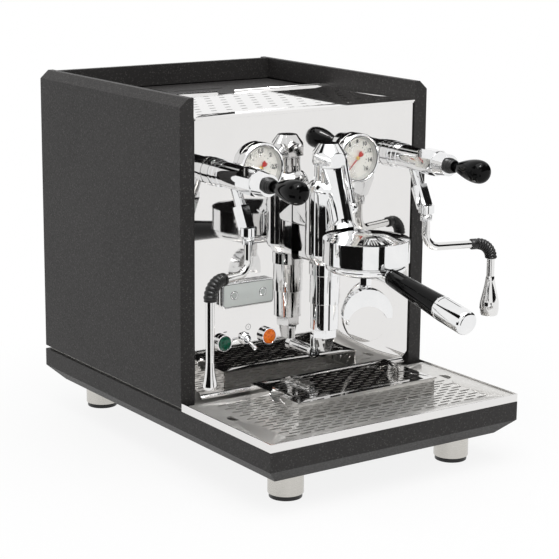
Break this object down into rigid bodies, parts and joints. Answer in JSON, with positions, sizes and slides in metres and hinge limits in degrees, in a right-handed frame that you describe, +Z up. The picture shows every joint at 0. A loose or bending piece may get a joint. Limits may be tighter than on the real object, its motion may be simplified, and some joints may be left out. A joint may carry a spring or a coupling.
{
  "type": "espresso machine",
  "caption": "Boxy espresso machine with a lever brew group, a locked-in portafilter, two joystick valves with swivelling wands, round pressure gauges and a slotted drip tray.",
  "frame": {"origin": "on the floor, on the middle plane, straight below the front faces of the side walls", "axes": "+X to the right as seen from the front, +Y to the back, +Z up"},
  "size_m": [0.3989, 0.5997, 0.413],
  "materials": {
    "powder_coat": "fine textured satin powder coat",
    "mirror_steel": "mirror-polished stainless steel",
    "satin_steel": "brushed stainless steel",
    "chrome_brass": "polished chrome plate",
    "tube_steel": "polished stainless tube and pressings",
    "black_rubber": "matt moulded rubber",
    "black_gloss": "glossy phenolic",
    "tank_plastic": "translucent food-safe plastic",
    "raw_brass": "machined brass",
    "dial_cream": "printed satin enamel",
    "needle_red": "red enamel on thin sheet",
    "clear_glass": "clear flat glass",
    "display_grey": "satin grey-green face",
    "button_grey": "satin plastic",
    "lens_colour": "coloured translucent lenses",
    "boiler_steel": "welded stainless steel",
    "motor_grey": "cast aluminium housing",
    "box_plastic": "moulded plastic",
    "copper_pipe": "drawn copper pipe and brass valve"
  },
  "bodies": {
    "casing": {"base_pan": "powder_coat", "foot_sleeves": "satin_steel", "foot_pads": "black_rubber", "chassis_frame": "satin_steel", "front_plate": "mirror_steel", "left_panel": "powder_coat", "right_panel": "powder_coat", "rear_panel": "powder_coat", "tank_valve": "raw_brass", "group_body": "chrome_brass", "group_cap": "chrome_brass", "infusion_chamber": "chrome_brass", "drain_outlet": "chrome_brass", "cam_gland": "chrome_brass", "group_seal": "black_rubber", "shower_screen": "tube_steel", "steam_valve": "chrome_brass", "water_valve": "chrome_brass", "valve_boots": "black_rubber", "gauge_cases": "chrome_brass", "gauge_dials": "dial_cream", "gauge_glasses": "clear_glass", "display_box": "display_grey", "control_bezels": "chrome_brass", "lamp_lenses": "lens_colour", "steam_boiler": "boiler_steel", "brew_boiler": "boiler_steel", "pump_head": "raw_brass", "pump_motor": "motor_grey", "control_box": "box_plastic", "water_pipes": "copper_pipe", "mains_inlet": "box_plastic", "screws": "tube_steel"},
    "cup_rack": {"cup_tray": "mirror_steel"},
    "lid": {"tank_lid": "powder_coat"},
    "tank": {"water_tank": "tank_plastic"},
    "tray": {"drip_tray": "mirror_steel"},
    "grid": {"drip_grid": "satin_steel"},
    "stand": {"cup_stand": "satin_steel"},
    "brew_lever": {"group_lever": "chrome_brass"},
    "handle": {"portafilter": "chrome_brass", "filter_basket": "tube_steel", "handle_grip": "black_gloss", "handle_cap": "chrome_brass", "double_spout": "chrome_brass"},
    "steam_stick": {"steam_knob": "black_gloss"},
    "water_stick": {"water_knob": "black_gloss"},
    "steam_arm": {"steam_ball": "chrome_brass", "steam_wand": "tube_steel", "steam_grip": "black_rubber"},
    "water_arm": {"water_ball": "chrome_brass", "water_wand": "tube_steel", "water_grip": "black_rubber"},
    "boiler_pointer": {"boiler_needle": "needle_red"},
    "pump_pointer": {"pump_needle": "needle_red"},
    "key_left": {"left_button": "button_grey"},
    "key_right": {"right_button": "button_grey"},
    "toggle": {"switch_lever": "chrome_brass"},
    "cover": {"cover_disc": "mirror_steel"},
    "pump_shaft": {"pump_coupling": "black_rubber"}
  },
  "joints": [
    {"name": "cup_rack_lift", "type": "slide", "parent": "casing", "child": "cup_rack", "axis": [0, 0, 1], "range_m": [0, 0.02]},
    {"name": "tank_lift", "type": "slide", "parent": "casing", "child": "tank", "axis": [0, 0, 1], "range_m": [0, 0.025]},
    {"name": "lid_lift", "type": "slide", "parent": "tank", "child": "lid", "axis": [0, 0, 1], "range_m": [0, 0.03]},
    {"name": "tray_lift", "type": "slide", "parent": "casing", "child": "tray", "axis": [0, 0, 1], "range_m": [0, 0.006]},
    {"name": "grid_lift", "type": "slide", "parent": "tray", "child": "grid", "axis": [0, 0, 1], "range_m": [0, 0.008]},
    {"name": "stand_lift", "type": "slide", "parent": "grid", "child": "stand", "axis": [0, 0, 1], "range_m": [0, 0.008]},
    {"name": "brew_lever_turn", "type": "hinge", "parent": "casing", "child": "brew_lever", "pos_m": [0.025, -0.034, 0.2815], "axis": [1, 0, 0], "range_deg": [0, 75]},
    {"name": "handle_turn", "type": "hinge", "parent": "casing", "child": "handle", "pos_m": [0, -0.108, 0.24], "axis": [0, 0, -1], "range_deg": [0, 50]},
    {"name": "steam_stick_tilt", "type": "hinge", "parent": "casing", "child": "steam_stick", "pos_m": [-0.121, -0.092, 0.331], "axis": [1, 0, 0], "range_deg": [-7, 7], "stiffness_Nm_per_rad": 2},
    {"name": "water_stick_tilt", "type": "hinge", "parent": "casing", "child": "water_stick", "pos_m": [0.121, -0.092, 0.331], "axis": [1, 0, 0], "range_deg": [-7, 7], "stiffness_Nm_per_rad": 2},
    {"name": "steam_arm_swivel", "type": "hinge", "parent": "casing", "child": "steam_arm", "pos_m": [-0.121, -0.061, 0.272], "axis": [0, 0, 1], "range_deg": [-15, 75]},
    {"name": "water_arm_swivel", "type": "hinge", "parent": "casing", "child": "water_arm", "pos_m": [0.121, -0.061, 0.272], "axis": [0, 0, 1], "range_deg": [-75, 15]},
    {"name": "boiler_pointer_turn", "type": "hinge", "parent": "casing", "child": "boiler_pointer", "pos_m": [-0.066, -0.004, 0.331], "axis": [0, 1, 0], "range_deg": [0, 270]},
    {"name": "pump_pointer_turn", "type": "hinge", "parent": "casing", "child": "pump_pointer", "pos_m": [0.066, -0.004, 0.331], "axis": [0, 1, 0], "range_deg": [0, 270]},
    {"name": "key_left_press", "type": "slide", "parent": "casing", "child": "key_left", "axis": [0, 1, 0], "range_m": [0, 0.0012], "stiffness_N_per_m": 300},
    {"name": "key_right_press", "type": "slide", "parent": "casing", "child": "key_right", "axis": [0, 1, 0], "range_m": [0, 0.0012], "stiffness_N_per_m": 300},
    {"name": "toggle_flip", "type": "hinge", "parent": "casing", "child": "toggle", "pos_m": [-0.0833, -0.002, 0.141], "axis": [-1, 0, 0], "range_deg": [0, 45]},
    {"name": "cover_swing", "type": "hinge", "parent": "casing", "child": "cover", "pos_m": [0.0591, 0.001, 0.1389], "axis": [0, -1, 0], "range_deg": [0, 120]},
    {"name": "pump_shaft_spin", "type": "hinge", "parent": "casing", "child": "pump_shaft", "pos_m": [-0.097, 0.14, 0.122], "axis": [0, 1, 0], "continuous": true}
  ]
}
